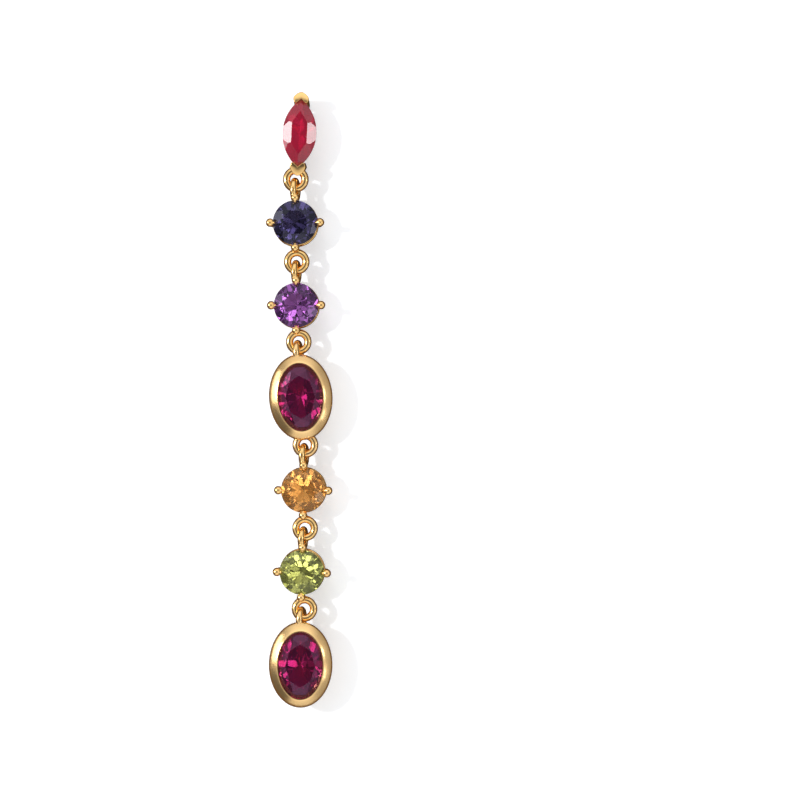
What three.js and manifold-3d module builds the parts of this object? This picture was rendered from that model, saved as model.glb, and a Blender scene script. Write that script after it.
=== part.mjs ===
// A drop earring: a marquise stud on an ear post, and six stone settings that hang below it in a column.
// Millimetres, +Z up. The stones face -Y. The origin is where the post leaves the back of the stud.
import * as THREE from 'three';
import { ConvexGeometry } from 'three/addons/geometries/ConvexGeometry.js';
import { mergeVertices } from 'three/addons/utils/BufferGeometryUtils.js';
import Module from 'manifold-3d';

const wasm = await Module();
wasm.setup();

// Stones: width and height at the girdle, heights of crown, pavilion and girdle, and the table's share of the
// width. turn is how far the table's corners stand off the top, in eighths of a round.
const ROUND = { width: 4, height: 4, crown: 0.6, pavilion: 1.7, girdle: 0.1, table: 0.56, turn: 0 };
const OVAL = { width: 4.4, height: 6.4, crown: 0.75, pavilion: 1.9, girdle: 0.1, table: 0.6, turn: 0 };
const MARQUISE = {
  width: 3.05,
  height: 6.15,
  crown: 0.5,
  pavilion: 1.35,
  girdle: 0.08,
  table: 0.47,
  turn: 0.5,
};
const STONE_GAP = 0.05;

// Round wire rings and loops that hang each setting on the one above. Depths run back from the girdle.
const RING = { outer: 2.33, wire: 0.68 };
const LOOP = { outer: 2.3, wire: 0.6, turn: -9 };
const LINK_GAP = 0.08;
const LINK_STEPS = 16;
const WIRE_SIDES = 6;

// Claw settings of the round stones. The loop stands over the stone's edge and the ring under it.
const CLAW = { wire: 0.5, frontDepth: -0.2, overGirdle: 0.24, bead: 0.8, sides: 8 };
const BASKET = { depth: 2.5, taper: 0.12 };
const RAIL = { wire: 0.36, overGirdle: 0.06, upperDepth: 0.62, lowerDepth: 2.2, steps: 16 };
const CLAW_LINK_DEPTH = 0.6;
const CLAW_LOOP_RISE = { iolite: 0.98, amethyst: 0.98, citrine: 1.12, peridot: 0.98 };
const CLAW_RING_DROP = { iolite: 1.47, amethyst: 1.27, citrine: 1.44, peridot: 1.32 };
const SOLDER = 0.66;
const BEAD_SIDES = 10;

// Oval bezels: a cone-shaped rim whose lip holds the stone, and a tapered wall, open at the back.
const BEZEL = { lipHold: 0.23, rim: 0.74, lip: 0.14, lipDepth: -0.55, rimDepth: 0.03, wallDepth: 0.95 };
const BEZEL_DRAFT = 0.12;
const BEZEL_BACK = { depth: 2.7, inset: 0.4, wall: 0.46 };
const BEZEL_LINK_DEPTH = 0.95;
const BEZEL_LOOP_RISE = 0.18;
const BEZEL_RING_DROP = 0.46;
const BEZEL_STEPS = 36;

// Stud: V prongs over the two points, pointed rails, side struts and the post.
const PRONG = { shoulder: 0.72, tipHold: 0.02, arm: 0.37, end: 0.58, inner: 0.4, front: -0.45 };
const PRONG_APEX = { upper: 0.63, lower: 0.79 };
const PRONG_CREST = { across: 0.45, under: 0.15, steps: 4 };
const PRONG_TAPER = 0.3;
const STUD = { depth: 2.4, rail: 0.34, upperDepth: 0.6, upperInset: 0.08, lowerInset: 0.3 };
const STUD_BASE = { height: 0.45, bar: 0.8 };
const STRUT = { wire: 0.36, sides: 8 };
const STUD_RING = { side: -0.146, underStone: 1.025, depth: 0.7 };
const STUD_RING_DROP = MARQUISE.height / 2 + STUD_RING.underStone;
const MARQUISE_STEPS = 24;
const RAIL_TIP_SHARE = 2;
const POST = { diameter: 0.8, length: 10, point: 0.6, pointDiameter: 0.4, sides: 12 };

// The column, from the top. ringSide is how far across the ring below stands, and slide how far off the middle
// of the ring above the loop rests. lean is in degrees.
const STUD_LEAN = 3;
const COLUMN = [
  { name: 'iolite', cut: 'round', lean: -0.3, ringSide: 0.1, slide: -0.05 },
  { name: 'amethyst', cut: 'round', lean: -0.3, ringSide: 0.19, slide: -0.04 },
  { name: 'upper_garnet', cut: 'oval', lean: -3.7, ringSide: 0.11, slide: -0.05 },
  { name: 'citrine', cut: 'round', lean: 0.6, ringSide: 0.17, slide: -0.13 },
  { name: 'peridot', cut: 'round', lean: 1.6, ringSide: 0.3, slide: -0.18 },
  { name: 'lower_garnet', cut: 'oval', lean: 0.5, slide: -0.28 },
];

const COLOURS = {
  gold: 0xd9a648,
  ruby: 0xa8203f,
  iolite: 0x2f2a66,
  amethyst: 0x6b2f8c,
  garnet: 0x7a1246,
  citrine: 0xcf8430,
  peridot: 0x98a043,
};

// Booleans on closed three.js meshes.
const MERGE = 1e-5;

function solid(geometry) {
  geometry.deleteAttribute('normal');
  geometry.deleteAttribute('uv');
  const merged = mergeVertices(geometry, MERGE);
  return new wasm.Manifold(new wasm.Mesh({
    numProp: 3,
    vertProperties: Float32Array.from(merged.attributes.position.array),
    triVerts: Uint32Array.from(merged.index.array),
  }));
}

function join(geometries) {
  return geometries.map(solid).reduce((all, next) => all.add(next));
}

function geometryOf(body) {
  const mesh = body.getMesh();
  const geometry = new THREE.BufferGeometry();
  geometry.setAttribute('position', new THREE.BufferAttribute(Float32Array.from(mesh.vertProperties), 3));
  geometry.setIndex(Array.from(mesh.triVerts));
  return geometry;
}

// A named piece with its own material.
function piece(name, body, colour) {
  const metal = colour === COLOURS.gold;
  const material = new THREE.MeshStandardMaterial({
    color: colour,
    roughness: metal ? 0.22 : 0.05,
    metalness: metal ? 1 : 0,
  });
  const mesh = new THREE.Mesh(geometryOf(body), material);
  mesh.name = name;
  return mesh;
}

// Round wire bent into a ring that faces the viewer.
function wireRing(outer, wire, steps, x, y, z) {
  const ring = new THREE.TorusGeometry((outer - wire) / 2, wire / 2, WIRE_SIDES, steps);
  return ring.rotateX(Math.PI / 2).translate(x, y, z);
}

// A loop seen edge-on, turned slightly about the vertical.
function wireLoop(y, z) {
  const loop = new THREE.TorusGeometry((LOOP.outer - LOOP.wire) / 2, LOOP.wire / 2, WIRE_SIDES, LINK_STEPS);
  return loop.rotateY(Math.PI / 2).rotateZ(THREE.MathUtils.degToRad(LOOP.turn)).translate(0, y, z);
}

// A straight wire between two points.
function wireBetween(from, to, diameter, sides) {
  const way = new THREE.Vector3().subVectors(to, from);
  const rod = new THREE.CylinderGeometry(diameter / 2, diameter / 2, way.length(), sides);
  rod.applyQuaternion(new THREE.Quaternion().setFromUnitVectors(new THREE.Vector3(0, 1, 0), way.normalize()));
  const middle = from.clone().add(to).multiplyScalar(0.5);
  return rod.translate(middle.x, middle.y, middle.z);
}

function bead(diameter, x, y, z) {
  return new THREE.SphereGeometry(diameter / 2, BEAD_SIDES, BEAD_SIDES * 0.6).translate(x, y, z);
}

// How far a loop's centre hangs below the ring's, with the loop resting off the ring's middle by slide.
function hang(slide) {
  const wirePath = (RING.outer - RING.wire) / 2;
  const loopInside = LOOP.outer / 2 - LOOP.wire;
  return Math.sqrt(wirePath ** 2 - slide ** 2) - RING.wire / 2 + loopInside - LINK_GAP;
}

// Outlines by angle from the top point, for a half width and a half height.
function ellipse(angle, halfWidth, halfHeight) {
  return [halfWidth * Math.sin(angle), halfHeight * Math.cos(angle)];
}

// Two arcs that meet at the top and bottom points.
function marquise(angle, halfWidth, halfHeight) {
  const z = halfHeight * Math.cos(angle);
  const arc = (halfHeight ** 2 + halfWidth ** 2) / (2 * halfWidth);
  const x = Math.max(Math.sqrt(arc ** 2 - z ** 2) - arc + halfWidth, 0);
  return [Math.sin(angle) < 0 ? -x : x, z];
}

// A stone is a brilliant: a table, a broken crown, a girdle and a broken pavilion with eight mains each way.
const MAINS = 8;
const CROWN_BREAK = 0.78;
const PAVILION_BREAK = 0.42;

function stoneSolid(stone, outline, grow = 0) {
  const points = [];
  const half = Math.PI / MAINS;
  const put = (share, angle, y) => {
    const [x, z] = outline(angle, stone.width / 2 + grow, stone.height / 2 + grow);
    points.push(new THREE.Vector3(x * share, y, z * share));
  };
  const front = -stone.girdle / 2 - grow;
  const back = stone.girdle / 2 + grow;
  const breakDepth = (share, inner, depth) => (depth * (1 - share * Math.cos(half))) / (1 - inner);
  for (let i = 0; i < MAINS; i += 1) {
    const main = 2 * (i + stone.turn) * half;
    put(stone.table, main, front - stone.crown);
    put(CROWN_BREAK, main + half, front - breakDepth(CROWN_BREAK, stone.table, stone.crown));
    put(PAVILION_BREAK, main + half, back + breakDepth(PAVILION_BREAK, 0, stone.pavilion));
    for (const angle of [main, main + half]) {
      put(1, angle, front);
      put(1, angle, back);
    }
  }
  points.push(new THREE.Vector3(0, back + stone.pavilion, 0));
  return solid(new ConvexGeometry(points));
}

// Four straight claws with ball heads, converging to the back, on two round rails.
function clawSetting(stone, link, loopRise, ringDrop) {
  const wireAt = (angle, depth) => {
    const share = (depth - CLAW.frontDepth) / (BASKET.depth - CLAW.frontDepth);
    const radius = stone.width / 2 + CLAW.overGirdle - BASKET.taper * share;
    return new THREE.Vector3(radius * Math.sin(angle), depth, radius * Math.cos(angle));
  };
  const parts = [];
  for (let i = 0; i < 4; i += 1) {
    const angle = (i * Math.PI) / 2;
    const front = wireAt(angle, CLAW.frontDepth);
    parts.push(wireBetween(front, wireAt(angle, BASKET.depth), CLAW.wire, CLAW.sides));
    parts.push(bead(CLAW.bead, front.x, front.y, front.z));
  }
  for (const depth of [RAIL.upperDepth, RAIL.lowerDepth]) {
    parts.push(wireRing(stone.width + 2 * RAIL.overGirdle, RAIL.wire, RAIL.steps, 0, depth, 0));
  }
  const ringTop = ringDrop - (RING.outer - RING.wire) / 2;
  const clawEdge = wireAt(0, CLAW_LINK_DEPTH).z;
  parts.push(bead(SOLDER, link.ringSide / 2, CLAW_LINK_DEPTH, -(ringTop + clawEdge) / 2));
  parts.push(wireRing(RING.outer, RING.wire, LINK_STEPS, link.ringSide, CLAW_LINK_DEPTH, -ringDrop));
  parts.push(wireLoop(CLAW_LINK_DEPTH, loopRise));
  return join(parts).subtract(stoneSolid(stone, ellipse, STONE_GAP));
}

// A closed wall along an outline, from sections of [distance inside it, depth]. At a pointed outline's two
// ends the distance counts tipShare times.
const BAND_RADIUS = 10;

function band(outline, halfWidth, halfHeight, sections, steps, tipShare = 1) {
  const corners = [...sections, sections[0]].reverse();
  const profile = corners.map(([inset, depth]) => new THREE.Vector2(BAND_RADIUS - inset, depth));
  const wall = new THREE.LatheGeometry(profile, steps);
  const place = wall.attributes.position;
  for (let i = 0; i < place.count; i += 1) {
    const inset = BAND_RADIUS - Math.hypot(place.getX(i), place.getZ(i));
    const angle = Math.atan2(place.getX(i), place.getZ(i));
    const [x, z] = outline(angle, halfWidth - inset, halfHeight - inset * tipShare);
    place.setXYZ(i, x, place.getY(i), z);
  }
  return wall;
}

function ovalBezel(stone, link) {
  const mouthInset = BEZEL.rim + BEZEL.lip;
  const outside = mouthInset - BEZEL.lipHold;
  const halfWidth = stone.width / 2 + outside;
  const halfHeight = stone.height / 2 + outside;
  const wall = band(ellipse, halfWidth, halfHeight, [
    [mouthInset, BEZEL.lipDepth],
    [mouthInset, BEZEL.wallDepth],
    [BEZEL_BACK.inset + BEZEL_BACK.wall, BEZEL_BACK.depth],
    [BEZEL_BACK.inset, BEZEL_BACK.depth],
    [BEZEL_DRAFT, BEZEL.wallDepth],
    [0, BEZEL.rimDepth],
    [BEZEL.rim, BEZEL.lipDepth],
  ], BEZEL_STEPS);
  const parts = [wall, wireLoop(BEZEL_LINK_DEPTH, halfHeight + BEZEL_LOOP_RISE)];
  if (link.ringSide) {
    const drop = halfHeight + BEZEL_RING_DROP;
    parts.push(wireRing(RING.outer, RING.wire, LINK_STEPS, link.ringSide, BEZEL_LINK_DEPTH, -drop));
  }
  return join(parts).subtract(stoneSolid(stone, ellipse, STONE_GAP));
}

// A flat rail with the stone's pointed outline.
function pointedRail(inset, width, depth, height) {
  const sections = [
    [inset + width, depth],
    [inset + width, depth + height],
    [inset, depth + height],
    [inset, depth],
  ];
  return band(marquise, MARQUISE.width / 2, MARQUISE.height / 2, sections, MARQUISE_STEPS, RAIL_TIP_SHARE);
}

// A V-shaped prong over the stone's top point, running back and inwards to the base.
function vProng(way) {
  const notch = MARQUISE.height / 2 - PRONG.tipHold;
  const apex = way > 0 ? PRONG_APEX.upper : PRONG_APEX.lower;
  const crest = notch + apex - PRONG_CREST.under;
  const shape = new THREE.Shape();
  shape.moveTo(0, notch);
  shape.lineTo(-PRONG.inner, notch - PRONG.arm);
  shape.lineTo(-PRONG.end, notch - PRONG.arm);
  shape.lineTo(-PRONG.shoulder, notch);
  shape.quadraticCurveTo(-PRONG_CREST.across, crest, 0, notch + apex);
  shape.quadraticCurveTo(PRONG_CREST.across, crest, PRONG.shoulder, notch);
  shape.lineTo(PRONG.end, notch - PRONG.arm);
  shape.lineTo(PRONG.inner, notch - PRONG.arm);
  const depth = STUD.depth - PRONG.front;
  const extrusion = { depth, bevelEnabled: false, curveSegments: PRONG_CREST.steps };
  const prong = new THREE.ExtrudeGeometry(shape, extrusion);
  prong.rotateX(Math.PI / 2).translate(0, STUD.depth, 0);
  const place = prong.attributes.position;
  for (let i = 0; i < place.count; i += 1) {
    const share = (place.getY(i) - PRONG.front) / depth;
    place.setZ(i, place.getZ(i) - PRONG_TAPER * share);
  }
  return way > 0 ? prong : prong.rotateY(Math.PI);
}

function studSetting() {
  const baseDepth = STUD.depth - STUD_BASE.height;
  const base = pointedRail(STUD.lowerInset, STUD.rail, baseDepth, STUD_BASE.height);
  const barWidth = MARQUISE.width - 2 * STUD.lowerInset - STUD.rail;
  const bar = new THREE.BoxGeometry(barWidth, STUD_BASE.height, STUD_BASE.bar);
  bar.translate(0, baseDepth + STUD_BASE.height / 2, 0);
  const parts = [vProng(1), vProng(-1), base, bar];
  parts.push(pointedRail(STUD.upperInset, STUD.rail, STUD.upperDepth, STUD.rail));
  for (const side of [-1, 1]) {
    const upper = side * (MARQUISE.width / 2 - STUD.upperInset - STUD.rail / 2);
    const lower = side * (MARQUISE.width / 2 - STUD.lowerInset - STUD.rail / 2);
    const from = new THREE.Vector3(upper, STUD.upperDepth + STUD.rail / 2, 0);
    const to = new THREE.Vector3(lower, baseDepth + STUD_BASE.height / 2, 0);
    parts.push(wireBetween(from, to, STRUT.wire, STRUT.sides));
  }
  const postEnd = STUD.depth + POST.length - POST.point;
  const postRadius = POST.diameter / 2;
  const post = new THREE.CylinderGeometry(postRadius, postRadius, postEnd - baseDepth, POST.sides);
  post.translate(0, (postEnd + baseDepth) / 2, 0);
  const point = new THREE.CylinderGeometry(POST.pointDiameter / 2, postRadius, POST.point, POST.sides);
  point.translate(0, postEnd + POST.point / 2, 0);
  parts.push(post, point);
  parts.push(wireRing(RING.outer, RING.wire, LINK_STEPS, STUD_RING.side, STUD_RING.depth, -STUD_RING_DROP));
  return join(parts).subtract(stoneSolid(MARQUISE, marquise, STONE_GAP));
}

// The stud stands with its base on y = 0, and all rings hang in one plane.
const earring = new THREE.Group();
const stud = new THREE.Group();
stud.position.y = -STUD.depth;
stud.rotation.y = THREE.MathUtils.degToRad(STUD_LEAN);
stud.add(piece('stud_setting', studSetting(), COLOURS.gold));
stud.add(piece('ruby_stone', stoneSolid(MARQUISE, marquise), COLOURS.ruby));
earring.add(stud);

// A point of a leaning group, in the earring's frame.
function placed(group, x, y, z) {
  group.updateMatrix();
  return new THREE.Vector3(x, y, z).applyMatrix4(group.matrix);
}

let ring = placed(stud, STUD_RING.side, STUD_RING.depth, -STUD_RING_DROP);
for (const link of COLUMN) {
  const round = link.cut === 'round';
  const stone = round ? ROUND : OVAL;
  const outside = round ? 0 : BEZEL.rim + BEZEL.lip - BEZEL.lipHold;
  const edge = stone.height / 2 + outside;
  const rise = edge + (round ? CLAW_LOOP_RISE[link.name] : BEZEL_LOOP_RISE);
  const drop = edge + (round ? CLAW_RING_DROP[link.name] : BEZEL_RING_DROP);
  const depth = round ? CLAW_LINK_DEPTH : BEZEL_LINK_DEPTH;
  const group = new THREE.Group();
  group.rotation.y = THREE.MathUtils.degToRad(link.lean);
  const up = placed(group, 0, depth, rise);
  group.position.set(ring.x + link.slide, ring.y, ring.z - hang(link.slide)).sub(up);
  const setting = round ? clawSetting(stone, link, rise, drop) : ovalBezel(stone, link);
  const colour = COLOURS[link.name] ?? COLOURS.garnet;
  group.add(piece(`${link.name}_${round ? 'setting' : 'bezel'}`, setting, COLOURS.gold));
  group.add(piece(`${link.name}_stone`, stoneSolid(stone, ellipse), colour));
  earring.add(group);
  if (link.ringSide) {
    ring = placed(group, link.ringSide, depth, -drop);
  }
}

export default earring;
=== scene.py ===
# Drop earring: the finished look of each setting and stone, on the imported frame.
# Pieces are modelled in millimetres about their own stone's centre, then set in place in metres.
import math

import bmesh
import bpy
from mathutils import Matrix, Vector


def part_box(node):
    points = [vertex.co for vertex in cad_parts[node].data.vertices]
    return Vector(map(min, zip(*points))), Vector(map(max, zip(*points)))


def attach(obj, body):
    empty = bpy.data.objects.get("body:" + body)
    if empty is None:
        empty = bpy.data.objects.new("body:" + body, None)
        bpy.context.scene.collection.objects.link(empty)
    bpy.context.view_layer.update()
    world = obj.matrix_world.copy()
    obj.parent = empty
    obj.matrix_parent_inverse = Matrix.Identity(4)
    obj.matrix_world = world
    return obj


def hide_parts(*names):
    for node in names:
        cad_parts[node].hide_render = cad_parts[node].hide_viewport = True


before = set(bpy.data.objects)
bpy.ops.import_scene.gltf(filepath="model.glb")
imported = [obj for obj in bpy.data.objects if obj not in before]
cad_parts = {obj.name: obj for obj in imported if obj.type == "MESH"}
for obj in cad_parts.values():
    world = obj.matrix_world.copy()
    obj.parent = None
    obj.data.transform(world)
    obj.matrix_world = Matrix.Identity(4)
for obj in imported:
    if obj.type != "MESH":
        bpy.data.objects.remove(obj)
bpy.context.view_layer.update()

MM = 0.001
TURN = 2 * math.pi

# Stones, as they are cut. Depths run back from the middle of the girdle.
ROUND = dict(width=4.0, height=4.0, crown=0.6, pavilion=1.7, girdle=0.1, table=0.56)
OVAL = dict(width=4.4, height=6.4, crown=0.75, pavilion=1.9, girdle=0.1, table=0.6)
MARQUISE = dict(width=3.05, height=6.15, crown=0.5, pavilion=1.35, girdle=0.08)
CROWN_BREAK = 0.78
PAVILION_BREAK = 0.3
# Facets of the marquise: degrees off the side, and the crown's slope or the share of the reach at the keel.
MARQUISE_CROWN = [(0, 31), (-33, 31), (33, 31), (-16, 39), (16, 39), (-48, 40), (48, 40)]
MARQUISE_PAVILION = [(0, 0), (-33, 0), (33, 0), (-16, 0.15), (16, 0.15), (-48, 0.15), (48, 0.15)]
GIRDLE_STEPS = 96
# What the rough has to spare behind the keel, and how near the cutting plane a point counts as on it.
ROUGH_SPARE = 0.05
ON_PLANE = 1e-6
# The round stones are turned by the step from a main facet to a star.
ROUND_TURN = TURN / 16

# Round wire rings and loops, and bands that follow an outline.
RING = dict(outer=2.32, wire=0.67)
LOOP = dict(outer=2.28, wire=0.59)
LOOP_TURN = -11
LINK_STEPS = 64
WIRE_SIDES = 20
BALL_STEPS = (24, 16)
BAND_STEPS = 192
# How much further an inset runs at the points of the marquise than at its sides.
TIP_SHARE = 2

# Claw settings.
CLAWS = 4
CLAW = dict(wire=0.48, front=-0.2, over=0.24, bead=0.78)
CLAW_TIP = dict(width=0.34, over=-0.06, front=-0.26)
BASKET = dict(depth=2.5, taper=0.12)
RAIL = dict(wire=0.34, over=0.05, depths=(0.62, 2.2))
CLAW_LINK_DEPTH = 0.6
SOLDER = 0.62
CAST_VOXEL = 0.045
CAST_SOFTENING = 4
SOFTENING_SHARE = 0.5

# Oval bezels.
RIM = 0.74
LIP = 0.14
LIP_HOLD = 0.23
BEZEL_LINK_DEPTH = 0.95
BEZEL_LOOP_RISE = 0.18
BEZEL_RING_DROP = 0.46
# Sections of the bezel's wall, as distance inside its outer oval and depth behind the girdle.
BEZEL_WALL = [
    (RIM + LIP, 0.9),
    (RIM + LIP, -0.47),
    (RIM + LIP * 0.75, -0.53),
    (RIM + LIP * 0.3, -0.54),
    (RIM, -0.52),
    (RIM * 0.7, -0.36),
    (RIM * 0.4, -0.19),
    (RIM * 0.18, -0.05),
    (RIM * 0.08, 0.03),
    (RIM * 0.03, 0.1),
    (0.0, 0.2),
    (0.11, 0.9),
    (0.14, 1.0),
    (0.36, 2.58),
    (0.41, 2.68),
    (0.5, 2.7),
    (0.78, 2.69),
    (0.86, 2.64),
]

# The stud.
STUD_DEPTH = 2.4
STUD_RING = dict(side=-0.146, drop=4.1, depth=0.7)
PRONG = dict(shoulder=0.72, notch=3.075, arm=0.38, end=0.58, inner=0.38, front=-0.45)
PRONG_APEX = {1: 0.61, -1: 0.77}
# Points of the prong's rounded crest, as shares of its shoulder and of its apex.
PRONG_CREST = [(0.86, 0.36), (0.56, 0.72), (0.24, 0.95)]
PRONG_EDGE = 0.06
PRONG_EDGE_STEPS = 3
PRONG_SLOPE = 0.24
PRONG_TAPER = 0.3
STUD_RAILS = [dict(wire=0.34, inset=0.25, depth=0.77), dict(wire=0.42, inset=0.45, depth=2.18)]
RAIL_SIDES = 12
POST = dict(width=0.8, length=10, point=0.6, tip=0.4, rooted=0.2, sides=32)
BASE_BAR = dict(tall=0.78, deep=0.43, inset=0.005)
STRUT = 0.36

# The column, with the same leans and offsets as the solids.
STUD_LEAN = 3
COLUMN = [
    dict(name="iolite", cut="round", lean=-0.3, rise=2.98, drop=3.47, side=0.1),
    dict(name="amethyst", cut="round", lean=-0.3, rise=2.98, drop=3.27, side=0.19),
    dict(name="upper_garnet", cut="oval", lean=-3.7, side=0.11),
    dict(name="citrine", cut="round", lean=0.6, rise=3.12, drop=3.44, side=0.17),
    dict(name="peridot", cut="round", lean=1.6, rise=2.98, drop=3.32, side=0.3),
    dict(name="lower_garnet", cut="oval", lean=0.5, side=None),
]

# Edges that bend by more degrees than this stay sharp. The cast settings have none.
CREASE = 40
ALL_SMOOTH = 180


# Placing and finishing pieces
def place_of(stone_node, stone, lean):
    """Where a setting's own frame stands: at its stone's centre on the girdle, leaning about Y."""
    low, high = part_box(stone_node)
    middle = (low + high) / 2
    girdle = low.y + (stone["crown"] + stone["girdle"] / 2) * MM
    spot = Matrix.Translation((middle.x, girdle, middle.z))
    return spot @ Matrix.Rotation(math.radians(lean), 4, "Y") @ Matrix.Scale(MM, 4)


def finish(bm, place, node, material, smooth=None):
    """Makes a bmesh in millimetres into the piece that stands for its node."""
    bmesh.ops.transform(bm, matrix=place, verts=bm.verts)
    mesh = bpy.data.meshes.new(node + "_look")
    bm.to_mesh(mesh)
    bm.free()
    if smooth:
        mesh.shade_smooth()
        mesh.set_sharp_from_angle(angle=math.radians(smooth))
    mesh.materials.append(material)
    piece = bpy.data.objects.new(node + "_look", mesh)
    bpy.context.scene.collection.objects.link(piece)
    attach(piece, "root")
    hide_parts(node)


# Wires, balls and bands
def add_ring(bm, outer, wire, place):
    """Round wire bent into a ring about the Y axis, then moved by place."""
    section = bmesh.ops.create_circle(bm, segments=WIRE_SIDES, radius=wire / 2)["verts"]
    bmesh.ops.translate(bm, verts=section, vec=((outer - wire) / 2, 0, 0))
    edges = list({edge for vert in section for edge in vert.link_edges})
    known = set(bm.verts) - set(section)
    bmesh.ops.spin(
        bm,
        geom=section + edges,
        axis=(0, 1, 0),
        angle=TURN,
        steps=LINK_STEPS,
        use_merge=True,
    )
    ring = [vert for vert in bm.verts if vert not in known]
    bmesh.ops.transform(bm, matrix=place, verts=ring)


def ring_body(size, place):
    """One ring as a closed body of its own."""
    bm = bmesh.new()
    add_ring(bm, size["outer"], size["wire"], place)
    bmesh.ops.recalc_face_normals(bm, faces=bm.faces)
    return bm


def add_rod(bm, start, end, width, sides=WIRE_SIDES):
    """Straight round wire with flat ends."""
    start, end = Vector(start), Vector(end)
    way = end - start
    aim = way.to_track_quat("Z", "Y").to_matrix().to_4x4()
    bmesh.ops.create_cone(
        bm,
        cap_ends=True,
        segments=sides,
        radius1=width / 2,
        radius2=width / 2,
        depth=way.length,
        matrix=Matrix.Translation((start + end) / 2) @ aim,
    )


def add_ball(bm, spot, width):
    round_steps, pole_steps = BALL_STEPS
    bmesh.ops.create_uvsphere(
        bm,
        u_segments=round_steps,
        v_segments=pole_steps,
        radius=width / 2,
        matrix=Matrix.Translation(spot),
    )


def add_band(bm, outline, sections):
    """A closed wall that follows an outline, one loop of edges for each section."""
    loops = []
    for inset, depth in sections:
        ring = bmesh.ops.create_circle(bm, segments=BAND_STEPS, radius=1)["verts"]
        for i, vert in enumerate(ring):
            x, z = outline(TURN * i / BAND_STEPS, inset)
            vert.co = (x, depth, z)
        loops.append(list({edge for vert in ring for edge in vert.link_edges}))
    for one, other in zip(loops, loops[1:] + loops[:1]):
        bmesh.ops.bridge_loops(bm, edges=one + other)


def oval_outline(width, height):
    """An ellipse, by angle from its top and distance inside its edge."""

    def edge(angle, inset):
        return ((width / 2 - inset) * math.sin(angle), (height / 2 - inset) * math.cos(angle))

    return edge


def marquise_outline(width, height):
    """Two arcs that meet in points at the top and bottom."""

    def edge(angle, inset):
        half_width = width / 2 - inset
        half_height = height / 2 - inset * TIP_SHARE
        z = half_height * math.cos(angle)
        arc = (half_height**2 + half_width**2) / (2 * half_width)
        x = max(math.sqrt(arc**2 - z**2) - arc + half_width, 0)
        return (math.copysign(x, math.sin(angle)), z)

    return edge


def link_place(x, depth, z, turn=0):
    return Matrix.Translation((x, depth, z)) @ Matrix.Rotation(math.radians(turn), 4, "Z")


def add_links(bm, rise, depth, side, drop):
    """The loop above a setting, seen edge-on, and the ring below it, seen round."""
    add_ring(bm, LOOP["outer"], LOOP["wire"], link_place(0, depth, rise, 90 + LOOP_TURN))
    if side is not None:
        add_ring(bm, RING["outer"], RING["wire"], link_place(side, depth, -drop))


# Melting soldered parts into one body
def melted(bm, voxel, softening):
    """One closed skin over everything in bm, with softened joints."""
    mesh = bpy.data.meshes.new("melting")
    bm.to_mesh(mesh)
    bm.free()
    body = bpy.data.objects.new("melting", mesh)
    bpy.context.scene.collection.objects.link(body)
    remesh = body.modifiers.new("melt", "REMESH")
    remesh.mode = "VOXEL"
    remesh.voxel_size = voxel
    shape = body.evaluated_get(bpy.context.evaluated_depsgraph_get())
    skin = bmesh.new()
    skin.from_mesh(shape.to_mesh())
    shape.to_mesh_clear()
    bpy.data.objects.remove(body)
    bpy.data.meshes.remove(mesh)
    for _ in range(softening):
        bmesh.ops.smooth_vert(
            skin,
            verts=skin.verts,
            factor=SOFTENING_SHARE,
            use_axis_x=True,
            use_axis_y=True,
            use_axis_z=True,
        )
    return skin


def fused(parts):
    """The exact union of closed bmeshes."""
    bodies = []
    for bm in parts:
        mesh = bpy.data.meshes.new("fusing")
        bm.to_mesh(mesh)
        bm.free()
        body = bpy.data.objects.new("fusing", mesh)
        bpy.context.scene.collection.objects.link(body)
        bodies.append(body)
    for other in bodies[1:]:
        join = bodies[0].modifiers.new("join", "BOOLEAN")
        join.operation = "UNION"
        join.solver = "EXACT"
        join.object = other
    shape = bodies[0].evaluated_get(bpy.context.evaluated_depsgraph_get())
    result = bmesh.new()
    result.from_mesh(shape.to_mesh())
    shape.to_mesh_clear()
    for body in bodies:
        mesh = body.data
        bpy.data.objects.remove(body)
        bpy.data.meshes.remove(mesh)
    many_sided = [face for face in result.faces if len(face.verts) > 4]
    bmesh.ops.triangulate(result, faces=many_sided)
    return result


# Stones, cut facet by facet
def cut(bm, point, normal):
    """Grinds one facet: what lies beyond the plane goes, and the cut is closed."""
    whole = bm.verts[:] + bm.edges[:] + bm.faces[:]
    made = bmesh.ops.bisect_plane(
        bm,
        geom=whole,
        dist=ON_PLANE,
        plane_co=point,
        plane_no=normal,
        clear_outer=True,
    )
    rim = [item for item in made["geom_cut"] if isinstance(item, bmesh.types.BMEdge)]
    if len(rim) > 2:
        bmesh.ops.edgeloop_fill(bm, edges=rim)


def rough_stone(outline, stone):
    """A prism with the girdle's outline, deep enough for crown and pavilion."""
    bm = bmesh.new()
    front = -stone["crown"] - stone["girdle"] / 2
    back = stone["pavilion"] + stone["girdle"] / 2
    rings = []
    for depth in (front, back + ROUGH_SPARE):
        ring = bmesh.ops.create_circle(bm, cap_ends=True, segments=GIRDLE_STEPS, radius=1)["verts"]
        for i, vert in enumerate(ring):
            x, z = outline(TURN * i / GIRDLE_STEPS, 0)
            vert.co = (x, depth, z)
        rings.append(list({edge for vert in ring for edge in vert.link_edges}))
    bmesh.ops.bridge_loops(bm, edges=rings[0] + rings[1])
    bmesh.ops.recalc_face_normals(bm, faces=bm.faces)
    return bm


def facet(bm, direction, reach, depth, inner_reach, inner_depth):
    """A facet that faces direction, from reach at one depth in to inner_reach at another."""
    out = Vector((math.sin(direction), 0, math.cos(direction)))
    edge = out * reach + Vector((0, depth, 0))
    inner = out * inner_reach + Vector((0, inner_depth, 0))
    along = Vector((math.cos(direction), 0, -math.sin(direction)))
    normal = along.cross(inner - edge)
    if normal.dot(out) < 0:
        normal.negate()
    cut(bm, edge, normal)


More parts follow.
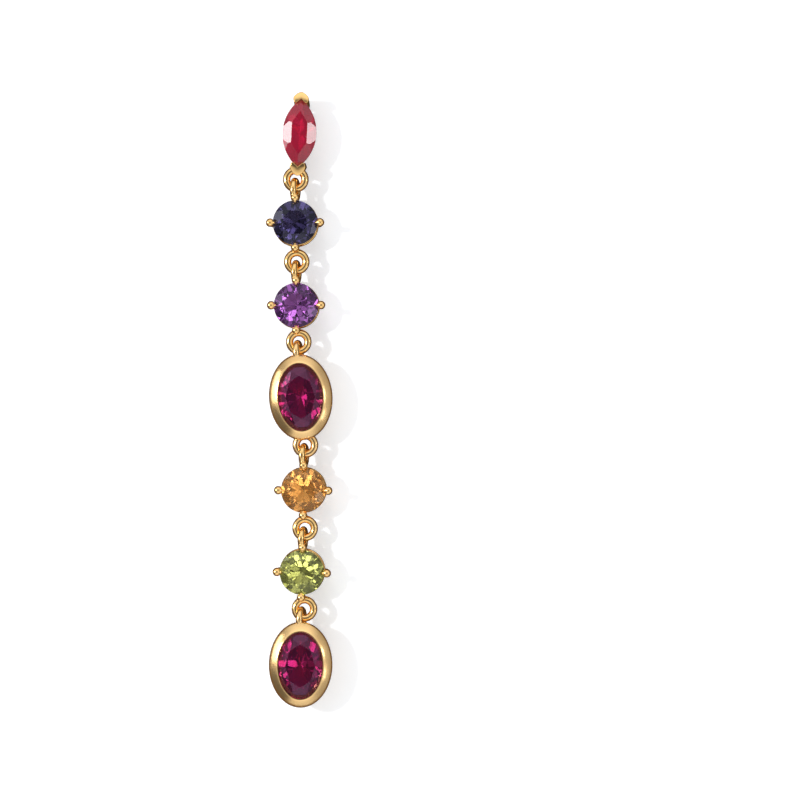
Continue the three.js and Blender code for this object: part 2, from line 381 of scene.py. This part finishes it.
def brilliant(stone, turn=0):
    """Table, 8 mains, 8 stars and 16 halves in front, 8 mains and 16 halves behind."""
    width = stone["width"]
    bm = rough_stone(oval_outline(width, width), stone)
    radius = width / 2
    edge = stone["girdle"] / 2
    eighth = TURN / 8
    table = stone["table"] * radius
    crown_break = CROWN_BREAK * radius
    slope = stone["crown"] / (radius - table)
    break_depth = -edge - slope * (radius - crown_break * math.cos(eighth / 2))
    back_break = PAVILION_BREAK * radius
    back_depth = edge + stone["pavilion"] * (1 - PAVILION_BREAK * math.cos(eighth / 2))
    table_depth = -edge - stone["crown"]
    for i in range(8):
        main = i * eighth + turn
        facet(bm, main, radius, -edge, table, table_depth)
        facet(bm, main, radius, edge, 0, stone["pavilion"] + edge)
        star = main + eighth / 2
        facet(bm, star, crown_break, break_depth, table * math.cos(eighth / 2), table_depth)
        for half in (main - eighth / 4, main + eighth / 4):
            near = math.cos(eighth / 4)
            facet(bm, half, radius, -edge, crown_break * near, break_depth)
            facet(bm, half, radius, edge, back_break * near, back_depth)
    squeeze = Matrix.Scale(stone["height"] / width, 4, (0, 0, 1))
    bmesh.ops.transform(bm, matrix=squeeze, verts=bm.verts)
    bmesh.ops.recalc_face_normals(bm, faces=bm.faces)
    return bm


def pointed_stone(stone):
    """A marquise: facets by direction off each side, steeper ones between them."""
    width, height = stone["width"], stone["height"]
    bm = rough_stone(marquise_outline(width, height), stone)
    arc = (height**2 + width**2) / (4 * width)
    edge = stone["girdle"] / 2
    for side in (TURN / 4, -TURN / 4):
        for off, rise in MARQUISE_CROWN:
            reach = arc - (arc - width / 2) * math.cos(math.radians(off))
            run = stone["crown"] / math.tan(math.radians(rise))
            facet(bm, side + math.radians(off), reach, -edge, reach - run, -edge - stone["crown"])
        for off, share in MARQUISE_PAVILION:
            reach = arc - (arc - width / 2) * math.cos(math.radians(off))
            facet(bm, side + math.radians(off), reach, edge, reach * share, edge + stone["pavilion"])
    bmesh.ops.recalc_face_normals(bm, faces=bm.faces)
    return bm


# Settings
def claw_setting(stone, link):
    """Four claws with ball heads on two rails, with a loop above and a ring below, cast in one."""
    bm = bmesh.new()
    radius = stone["width"] / 2
    span = BASKET["depth"] - CLAW["front"]

    def spot(angle, depth):
        out = radius + CLAW["over"] - BASKET["taper"] * (depth - CLAW["front"]) / span
        return Vector((out * math.sin(angle), depth, out * math.cos(angle)))

    for i in range(CLAWS):
        angle = i * TURN / CLAWS
        head = spot(angle, CLAW["front"])
        add_rod(bm, head, spot(angle, BASKET["depth"]), CLAW["wire"])
        add_ball(bm, head, CLAW["bead"])
        out = radius + CLAW_TIP["over"]
        add_ball(bm, (out * math.sin(angle), CLAW_TIP["front"], out * math.cos(angle)), CLAW_TIP["width"])
    for depth in RAIL["depths"]:
        add_ring(bm, stone["width"] + 2 * RAIL["over"], RAIL["wire"], link_place(0, depth, 0))
    seat = link["drop"] - (RING["outer"] - RING["wire"]) / 2
    claw_low = spot(0, CLAW_LINK_DEPTH).z
    add_ball(bm, (link["side"] / 2, CLAW_LINK_DEPTH, -(seat + claw_low) / 2), SOLDER)
    add_links(bm, link["rise"], CLAW_LINK_DEPTH, link["side"], link["drop"])
    return melted(bm, CAST_VOXEL, CAST_SOFTENING)


def oval_bezel(stone, link):
    """A wall round the stone that tapers to the back, with a loop above and, on one, a ring below."""
    outside = RIM + LIP - LIP_HOLD
    width = stone["width"] + 2 * outside
    height = stone["height"] + 2 * outside
    wall = bmesh.new()
    add_band(wall, oval_outline(width, height), BEZEL_WALL)
    bmesh.ops.recalc_face_normals(wall, faces=wall.faces)
    loop_rise = height / 2 + BEZEL_LOOP_RISE
    parts = [wall, ring_body(LOOP, link_place(0, BEZEL_LINK_DEPTH, loop_rise, 90 + LOOP_TURN))]
    if link["side"] is not None:
        ring_rise = -height / 2 - BEZEL_RING_DROP
        parts.append(ring_body(RING, link_place(link["side"], BEZEL_LINK_DEPTH, ring_rise)))
    return fused(parts)


def v_prong(way):
    """A V-shaped cap over one point of the stone, with softened edges, running back to the base."""
    bm = bmesh.new()
    notch, apex = PRONG["notch"], PRONG_APEX[way]
    shoulder = PRONG["shoulder"]
    low = notch - PRONG["arm"]
    crest = [(shoulder * across, notch + apex * up) for across, up in PRONG_CREST]
    right = [(PRONG["inner"], low), (PRONG["end"], low), (shoulder, notch)] + crest
    outline = [(0, notch)] + right + [(0, notch + apex)] + [(-x, z) for x, z in reversed(right)]
    corners = [bm.verts.new((x, PRONG["front"] + PRONG_SLOPE * (z - low), z)) for x, z in outline]
    face = bm.faces.new(corners)
    back = bmesh.ops.extrude_face_region(bm, geom=[face])["geom"]
    for item in back:
        if isinstance(item, bmesh.types.BMVert):
            item.co.y = STUD_DEPTH
            item.co.z -= PRONG_TAPER
    bmesh.ops.recalc_face_normals(bm, faces=bm.faces)
    bmesh.ops.bevel(
        bm,
        geom=bm.edges[:],
        offset=PRONG_EDGE,
        offset_type="OFFSET",
        segments=PRONG_EDGE_STEPS,
        profile=0.5,
        affect="EDGES",
        clamp_overlap=True,
        material=-1,
    )
    if way < 0:
        bmesh.ops.rotate(bm, verts=bm.verts, cent=(0, 0, 0), matrix=Matrix.Rotation(math.pi, 3, "Y"))
    return bm


def pointed_rail(wire, inset, depth):
    """Round wire along the stone's pointed outline."""
    bm = bmesh.new()
    sections = []
    for i in range(RAIL_SIDES):
        angle = TURN * i / RAIL_SIDES
        sections.append((inset + wire / 2 * math.cos(angle), depth + wire / 2 * math.sin(angle)))
    add_band(bm, marquise_outline(MARQUISE["width"], MARQUISE["height"]), sections)
    bmesh.ops.recalc_face_normals(bm, faces=bm.faces)
    return bm


def ear_post():
    """A round pin that runs back from the base bar to a blunt point."""
    bm = bmesh.new()
    shank = STUD_DEPTH + POST["length"] - POST["point"]
    root = STUD_DEPTH - POST["rooted"]
    add_rod(bm, (0, root, 0), (0, shank, 0), POST["width"], POST["sides"])
    end = max(bm.faces, key=lambda face: face.calc_center_median().y)
    made = bmesh.ops.extrude_face_region(bm, geom=[end])["geom"]
    tip = [item for item in made if isinstance(item, bmesh.types.BMVert)]
    share = POST["tip"] / POST["width"]
    bmesh.ops.scale(bm, verts=tip, vec=(share, 1, share))
    bmesh.ops.translate(bm, verts=tip, vec=(0, POST["point"], 0))
    if end.is_valid:
        bmesh.ops.delete(bm, geom=[end], context="FACES_ONLY")
    bmesh.ops.recalc_face_normals(bm, faces=bm.faces)
    return bm


def stud_setting():
    """Prongs, rails, base bar, struts and post of the stud, and the ring below it, soldered in one."""
    parts = [v_prong(1), v_prong(-1)]
    for rail in STUD_RAILS:
        parts.append(pointed_rail(**rail))
    bar = bmesh.new()
    back_rail = STUD_RAILS[1]
    reach = MARQUISE["width"] / 2 - back_rail["inset"]
    size = Matrix.Diagonal((2 * reach, BASE_BAR["deep"], BASE_BAR["tall"], 1))
    place = Matrix.Translation((0, STUD_DEPTH - BASE_BAR["deep"] / 2 - BASE_BAR["inset"], 0))
    bmesh.ops.create_cube(bar, size=1, matrix=place @ size)
    parts.append(bar)
    for side in (-1, 1):
        strut = bmesh.new()
        ends = [(side * (MARQUISE["width"] / 2 - rail["inset"]), rail["depth"], 0) for rail in STUD_RAILS]
        add_rod(strut, ends[0], ends[1], STRUT)
        parts.append(strut)
    parts.append(ear_post())
    ring_place = link_place(STUD_RING["side"], STUD_RING["depth"], -STUD_RING["drop"])
    parts.append(ring_body(RING, ring_place))
    return fused(parts)


# Materials
CLOUD_DETAIL = 3
GRAIN_DETAIL = 2
ZONE_DETAIL = 2
# The span of the grain's noise that runs from the smoothest to the roughest polish.
GRAIN_SPAN = (0.3, 0.7)
GRAIN_HEIGHT = 0.01
# A Mix node's colour sockets, by place.
MIX_ONE, MIX_OTHER, MIX_RESULT = 6, 7, 2


def colour_mix(nodes, kind="MIX"):
    """A node that mixes two colours."""
    node = nodes.new("ShaderNodeMix")
    node.data_type = "RGBA"
    node.blend_type = kind
    return node


def node_group(name, inputs, outputs):
    group = bpy.data.node_groups.new(name, "ShaderNodeTree")
    for label, kind, value in inputs:
        socket = group.interface.new_socket(label, in_out="INPUT", socket_type=kind)
        socket.default_value = value
    for label, kind in outputs:
        group.interface.new_socket(label, in_out="OUTPUT", socket_type=kind)
    return group, group.nodes.new("NodeGroupInput"), group.nodes.new("NodeGroupOutput")


def cloudy_plate():
    """Gold plate: faint clouds of a redder tone, uneven polish and a very fine grain."""
    group, given, out = node_group(
        "cloudy_plate",
        [
            ("Colour", "NodeSocketColor", (1, 0.75, 0.35, 1)),
            ("Deep colour", "NodeSocketColor", (0.9, 0.6, 0.25, 1)),
            ("Cloud scale", "NodeSocketFloat", 900),
            ("Grain scale", "NodeSocketFloat", 9000),
            ("Smoothest", "NodeSocketFloat", 0.1),
            ("Roughest", "NodeSocketFloat", 0.25),
        ],
        [("Colour", "NodeSocketColor"), ("Roughness", "NodeSocketFloat"), ("Height", "NodeSocketFloat")],
    )
    nodes, links = group.nodes, group.links
    where = nodes.new("ShaderNodeTexCoord")
    cloud = nodes.new("ShaderNodeTexNoise")
    cloud.inputs["Detail"].default_value = CLOUD_DETAIL
    links.new(where.outputs["Object"], cloud.inputs["Vector"])
    links.new(given.outputs["Cloud scale"], cloud.inputs["Scale"])
    grain = nodes.new("ShaderNodeTexNoise")
    grain.inputs["Detail"].default_value = GRAIN_DETAIL
    links.new(where.outputs["Object"], grain.inputs["Vector"])
    links.new(given.outputs["Grain scale"], grain.inputs["Scale"])
    tone = colour_mix(nodes)
    links.new(cloud.outputs["Fac"], tone.inputs["Factor"])
    links.new(given.outputs["Colour"], tone.inputs[MIX_ONE])
    links.new(given.outputs["Deep colour"], tone.inputs[MIX_OTHER])
    polish = nodes.new("ShaderNodeMapRange")
    polish.inputs["From Min"].default_value = GRAIN_SPAN[0]
    polish.inputs["From Max"].default_value = GRAIN_SPAN[1]
    links.new(grain.outputs["Fac"], polish.inputs["Value"])
    links.new(given.outputs["Smoothest"], polish.inputs["To Min"])
    links.new(given.outputs["Roughest"], polish.inputs["To Max"])
    links.new(tone.outputs[MIX_RESULT], out.inputs["Colour"])
    links.new(polish.outputs["Result"], out.inputs["Roughness"])
    links.new(grain.outputs["Fac"], out.inputs["Height"])
    return group


def gold(name, plate, colour, deep, smoothest, roughest, bump):
    """Gold plate in one tone and polish."""
    material = bpy.data.materials.new(name)
    material.use_nodes = True
    nodes, links = material.node_tree.nodes, material.node_tree.links
    shader = nodes["Principled BSDF"]
    shader.inputs["Metallic"].default_value = 1
    finish_node = nodes.new("ShaderNodeGroup")
    finish_node.node_tree = plate
    finish_node.inputs["Colour"].default_value = (*colour, 1)
    finish_node.inputs["Deep colour"].default_value = (*deep, 1)
    finish_node.inputs["Smoothest"].default_value = smoothest
    finish_node.inputs["Roughest"].default_value = roughest
    links.new(finish_node.outputs["Colour"], shader.inputs["Base Color"])
    links.new(finish_node.outputs["Roughness"], shader.inputs["Roughness"])
    relief = nodes.new("ShaderNodeBump")
    relief.inputs["Strength"].default_value = bump
    relief.inputs["Distance"].default_value = GRAIN_HEIGHT * MM
    links.new(finish_node.outputs["Height"], relief.inputs["Height"])
    links.new(relief.outputs["Normal"], shader.inputs["Normal"])
    return material


def stone_tint():
    """The body colour of a stone, in soft zones from one tone to another."""
    group, given, out = node_group(
        "stone_tint",
        [
            ("Tone", "NodeSocketColor", (1, 1, 1, 1)),
            ("Other tone", "NodeSocketColor", (0.8, 0.8, 0.8, 1)),
            ("Zone scale", "NodeSocketFloat", 500),
        ],
        [("Colour", "NodeSocketColor")],
    )
    nodes, links = group.nodes, group.links
    where = nodes.new("ShaderNodeTexCoord")
    zones = nodes.new("ShaderNodeTexNoise")
    zones.inputs["Detail"].default_value = ZONE_DETAIL
    links.new(where.outputs["Object"], zones.inputs["Vector"])
    links.new(given.outputs["Zone scale"], zones.inputs["Scale"])
    tone = colour_mix(nodes)
    links.new(zones.outputs["Fac"], tone.inputs["Factor"])
    links.new(given.outputs["Tone"], tone.inputs[MIX_ONE])
    links.new(given.outputs["Other tone"], tone.inputs[MIX_OTHER])
    links.new(tone.outputs[MIX_RESULT], out.inputs["Colour"])
    return group


def gem(name, tint, ior, clear, tone, other_tone, body, density, sheen):
    """A cut stone: clear is the share of it that light goes through, the rest is milky."""
    material = bpy.data.materials.new(name)
    material.use_nodes = True
    nodes, links = material.node_tree.nodes, material.node_tree.links
    shader = nodes["Principled BSDF"]
    shader.inputs["Roughness"].default_value = 0
    shader.inputs["IOR"].default_value = ior
    shader.inputs["Transmission Weight"].default_value = clear
    shader.inputs["Specular Tint"].default_value = (*sheen, 1)
    colour = nodes.new("ShaderNodeGroup")
    colour.node_tree = tint
    colour.inputs["Tone"].default_value = (*tone, 1)
    colour.inputs["Other tone"].default_value = (*other_tone, 1)
    links.new(colour.outputs["Colour"], shader.inputs["Base Color"])
    depth = nodes.new("ShaderNodeVolumeAbsorption")
    depth.inputs["Color"].default_value = (*body, 1)
    depth.inputs["Density"].default_value = density
    links.new(depth.outputs["Volume"], nodes["Material Output"].inputs["Volume"])
    return material


# Stones: refraction, clearness, two tones, the colour and density of their depth, the tint of their shine.
STONE_LOOKS = {
    "ruby": dict(
        ior=1.77,
        clear=0.6,
        tone=(0.74, 0.015, 0.08),
        other_tone=(0.46, 0.008, 0.05),
        body=(0.9, 0.2, 0.35),
        density=150,
        sheen=(1, 1, 1),
    ),
    "iolite": dict(
        ior=1.54,
        clear=1,
        tone=(0.11, 0.09, 0.18),
        other_tone=(0.05, 0.042, 0.1),
        body=(0.4, 0.35, 0.8),
        density=200,
        sheen=(0.75, 0.75, 1),
    ),
    "amethyst": dict(
        ior=1.55,
        clear=0.98,
        tone=(0.6, 0.28, 0.63),
        other_tone=(0.35, 0.13, 0.44),
        body=(0.75, 0.42, 0.88),
        density=200,
        sheen=(0.85, 0.6, 1),
    ),
    "garnet": dict(
        ior=1.7,
        clear=0.95,
        tone=(0.56, 0.065, 0.45),
        other_tone=(0.7, 0.03, 0.08),
        body=(0.7, 0.3, 0.5),
        density=400,
        sheen=(0.9, 0.45, 0.8),
    ),
    "citrine": dict(
        ior=1.55,
        clear=0.9,
        tone=(1.0, 0.62, 0.21),
        other_tone=(0.98, 0.46, 0.12),
        body=(0.97, 0.72, 0.33),
        density=150,
        sheen=(1, 0.85, 0.6),
    ),
    "peridot": dict(
        ior=1.6,
        clear=0.93,
        tone=(0.78, 0.81, 0.32),
        other_tone=(0.56, 0.57, 0.16),
        body=(0.88, 0.9, 0.45),
        density=150,
        sheen=(0.95, 1, 0.7),
    ),
}
WIRE_GOLD = dict(colour=(0.98, 0.67, 0.29), deep=(0.92, 0.56, 0.2), smoothest=0.08, roughest=0.18, bump=0.2)
BEZEL_GOLD = dict(colour=(0.98, 0.68, 0.33), deep=(0.93, 0.59, 0.25), smoothest=0.14, roughest=0.26, bump=0.3)
plate = cloudy_plate()
stone_colour = stone_tint()
wire_gold = gold("wire_gold", plate, **WIRE_GOLD)
bezel_gold = gold("bezel_gold", plate, **BEZEL_GOLD)
gems = {name: gem(name, stone_colour, **look) for name, look in STONE_LOOKS.items()}

# The stud
stud_place = place_of("ruby_stone", MARQUISE, STUD_LEAN)
finish(stud_setting(), stud_place, "stud_setting", wire_gold, CREASE)
finish(pointed_stone(MARQUISE), stud_place, "ruby_stone", gems["ruby"])

# The column below it
for link in COLUMN:
    round_cut = link["cut"] == "round"
    stone = ROUND if round_cut else OVAL
    name = link["name"]
    stone_node = name + "_stone"
    place = place_of(stone_node, stone, link["lean"])
    if round_cut:
        finish(claw_setting(stone, link), place, name + "_setting", wire_gold, ALL_SMOOTH)
    else:
        finish(oval_bezel(stone, link), place, name + "_bezel", bezel_gold, CREASE)
    slot = "garnet" if name.endswith("garnet") else name
    turn = ROUND_TURN if round_cut else 0
    finish(brilliant(stone, turn), place, stone_node, gems[slot])

# Camera: level, square to the stones, with the earring left of the middle as in the photograph.
LENS = 100
SENSOR = 36
CLIP = (0.01, 5)
IMAGE = 800
PHOTO_SCALE = 11.15
VIEW_CENTRE = Vector((9.01, -2.3, -23.92)) * MM
distance = IMAGE / PHOTO_SCALE * LENS / SENSOR * MM
camera = bpy.data.cameras.new("camera")
camera.lens = LENS
camera.sensor_width = SENSOR
camera.clip_start, camera.clip_end = CLIP
camera_object = bpy.data.objects.new("camera", camera)
camera_object.location = VIEW_CENTRE + Vector((0, -distance, 0))
camera_object.rotation_euler = (math.pi / 2, 0, 0)
bpy.context.scene.collection.objects.link(camera_object)
bpy.context.scene.camera = camera_object


# Stage and light
PAPER_SEEN = (0.87, 0.89, 0.92)
PAPER_GLOW = 0.36
PAPER_ROUGHNESS = 0.9
PAPER_SHEEN = 0.1
# Painted shade in mirrors: the board shows this dark brown only in reflections, not to the camera.
BOARD_SHADE_IN_MIRRORS = (0.14, 0.09, 0.05)
BOARD_DEPTH = 0.6
FAR = 400
LIGHT_CENTRE = Vector((0, -2, -12)) * MM
LIGHT_REACH = 350


def stage_sheet(name, corners, material):
    """A flat sheet of the stage, with its corners in millimetres."""
    bm = bmesh.new()
    bm.faces.new([bm.verts.new(Vector(corner) * MM) for corner in corners])
    mesh = bpy.data.meshes.new(name)
    bm.to_mesh(mesh)
    bm.free()
    mesh.materials.append(material)
    sheet = bpy.data.objects.new(name, mesh)
    bpy.context.scene.collection.objects.link(sheet)


def paper(name, seen, shade_in_mirrors):
    """White paper, clear from behind, with painted shade in mirrors: in reflections it shows a dark brown,
    which gives the gold its dark outline.
    """
    material = bpy.data.materials.new(name)
    material.use_nodes = True
    nodes, links = material.node_tree.nodes, material.node_tree.links
    shader = nodes["Principled BSDF"]
    shader.inputs["Roughness"].default_value = PAPER_ROUGHNESS
    shader.inputs["Specular IOR Level"].default_value = PAPER_SHEEN
    ray = nodes.new("ShaderNodeLightPath")
    mirrored = nodes.new("ShaderNodeMath")
    mirrored.operation = "SUBTRACT"
    mirrored.use_clamp = True
    links.new(ray.outputs["Is Glossy Ray"], mirrored.inputs[0])
    links.new(ray.outputs["Is Transmission Ray"], mirrored.inputs[1])
    # In mirrors the paper takes the painted shade colour instead of its own white.
    tone = colour_mix(nodes)
    tone.inputs[MIX_ONE].default_value = (*seen, 1)
    tone.inputs[MIX_OTHER].default_value = (*shade_in_mirrors, 1)
    links.new(mirrored.outputs["Value"], tone.inputs["Factor"])
    links.new(tone.outputs[MIX_RESULT], shader.inputs["Base Color"])
    glow = nodes.new("ShaderNodeEmission")
    glow.inputs["Color"].default_value = (1, 1, 1, 1)
    level = nodes.new("ShaderNodeMath")
    level.operation = "MULTIPLY"
    level.inputs[1].default_value = PAPER_GLOW
    links.new(ray.outputs["Is Camera Ray"], level.inputs[0])
    links.new(level.outputs["Value"], glow.inputs["Strength"])
    both = nodes.new("ShaderNodeAddShader")
    links.new(shader.outputs["BSDF"], both.inputs[0])
    links.new(glow.outputs["Emission"], both.inputs[1])
    clear = nodes.new("ShaderNodeBsdfTransparent")
    side = nodes.new("ShaderNodeNewGeometry")
    passed = nodes.new("ShaderNodeMath")
    passed.use_clamp = True
    links.new(side.outputs["Backfacing"], passed.inputs[0])
    links.new(ray.outputs["Transparent Depth"], passed.inputs[1])
    choose = nodes.new("ShaderNodeMixShader")
    links.new(passed.outputs["Value"], choose.inputs["Fac"])
    links.new(both.outputs["Shader"], choose.inputs[1])
    links.new(clear.outputs["BSDF"], choose.inputs[2])
    links.new(choose.outputs["Shader"], nodes["Material Output"].inputs["Surface"])
    return material


board_corners = [(x, BOARD_DEPTH, z) for x, z in ((-FAR, -FAR), (FAR, -FAR), (FAR, FAR), (-FAR, FAR))]
stage_sheet("board", board_corners, paper("board_paper", PAPER_SEEN, BOARD_SHADE_IN_MIRRORS))


def soft_light(name, azimuth, elevation, size, radiance, mirrored=True):
    """A panel, azimuth degrees right of the camera's side, seen in mirrors or lighting matt surfaces."""
    light = bpy.data.lights.new(name, "AREA")
    light.shape = "RECTANGLE"
    light.size, light.size_y = size[0] * MM, size[1] * MM
    light.energy = radiance * math.pi * light.size * light.size_y
    lamp = bpy.data.objects.new(name, light)
    across, up = math.radians(azimuth), math.radians(elevation)
    way = Vector((math.sin(across) * math.cos(up), -math.cos(across) * math.cos(up), math.sin(up)))
    lamp.location = LIGHT_CENTRE + way * LIGHT_REACH * MM
    lamp.rotation_euler = (-way).to_track_quat("-Z", "Y").to_euler()
    lamp.visible_diffuse = not mirrored
    lamp.visible_glossy = lamp.visible_transmission = mirrored
    bpy.context.scene.collection.objects.link(lamp)


soft_light("key", -62, 4, (80, 110), 9)
soft_light("left_sheet", -76, 10, (70, 230), 2.4)
soft_light("right_strip", 61, 3, (34, 64), 6)
soft_light("spot", -42, 4, (44, 44), 24)
soft_light("low_panel", 67, -21, (40, 80), 2.4)
soft_light("sun", -37, 7, (24, 24), 330, mirrored=False)

# The room: dark round the camera, bright in a ring about it, mid-grey at the sides.
ROOM = [
    (0.0, 0.4),
    (0.24, 0.46),
    (0.5, 0.8),
    (0.82, 0.88),
    (0.9, 0.66),
    (0.945, 0.26),
    (0.975, 0.12),
    (1.0, 0.1),
]
# Light from above and from below, and a dark card at lower left.
ABOVE = [(0.6, 0.0), (0.97, 0.46)]
BELOW = [(0.7, 0.0), (0.97, 0.4)]
CARD = [(0.86, 1.0), (0.96, 0.34)]
# Light that leaves a stone meets a busier room, bright windows between dark gaps, so that facets sparkle.
WINDOWS = [(0.43, 0.02), (0.51, 0.17), (0.57, 0.7), (0.63, 3.2)]
WINDOW_SCALE = 5
WINDOW_DETAIL = 1

world = bpy.data.worlds.new("studio")
bpy.context.scene.world = world
world.use_nodes = True
nodes, links = world.node_tree.nodes, world.node_tree.links
way = nodes.new("ShaderNodeTexCoord")


def world_dot(direction):
    """How squarely a ray runs in a direction."""
    node = nodes.new("ShaderNodeVectorMath")
    node.operation = "DOT_PRODUCT"
    node.inputs[1].default_value = Vector(direction).normalized()
    links.new(way.outputs["Generated"], node.inputs[0])
    return node.outputs["Value"]


def world_ramp(value, stops):
    """A grey level by value, eased between stops of position and level."""
    node = nodes.new("ShaderNodeValToRGB")
    node.color_ramp.interpolation = "EASE"
    marks = node.color_ramp.elements
    while len(marks) < len(stops):
        marks.new(0.5)
    for mark, (position, level) in zip(marks, stops):
        mark.position = position
        mark.color = (level, level, level, 1)
    links.new(value, node.inputs["Fac"])
    return node.outputs["Color"]


def world_blend(kind, one, other):
    node = colour_mix(nodes, kind)
    node.inputs["Factor"].default_value = 1
    links.new(one, node.inputs[MIX_ONE])
    links.new(other, node.inputs[MIX_OTHER])
    return node.outputs[MIX_RESULT]


room = world_ramp(world_dot((0, -1, 0)), ROOM)
above = world_ramp(world_dot((0, -0.3, 1)), ABOVE)
below = world_ramp(world_dot((0, -0.3, -1)), BELOW)
card = world_ramp(world_dot((-0.8, -0.24, -0.55)), CARD)
lit = world_blend("MULTIPLY", world_blend("ADD", world_blend("ADD", room, above), below), card)
windows = nodes.new("ShaderNodeTexNoise")
windows.inputs["Scale"].default_value = WINDOW_SCALE
windows.inputs["Detail"].default_value = WINDOW_DETAIL
links.new(way.outputs["Generated"], windows.inputs["Vector"])
ray = nodes.new("ShaderNodeLightPath")
met = colour_mix(nodes)
links.new(ray.outputs["Is Transmission Ray"], met.inputs["Factor"])
links.new(lit, met.inputs[MIX_ONE])
links.new(world_ramp(windows.outputs["Fac"], WINDOWS), met.inputs[MIX_OTHER])
links.new(met.outputs[MIX_RESULT], nodes["Background"].inputs["Color"])
nodes["Background"].inputs["Strength"].default_value = 1
bpy.context.scene.view_settings.view_transform = "Standard"
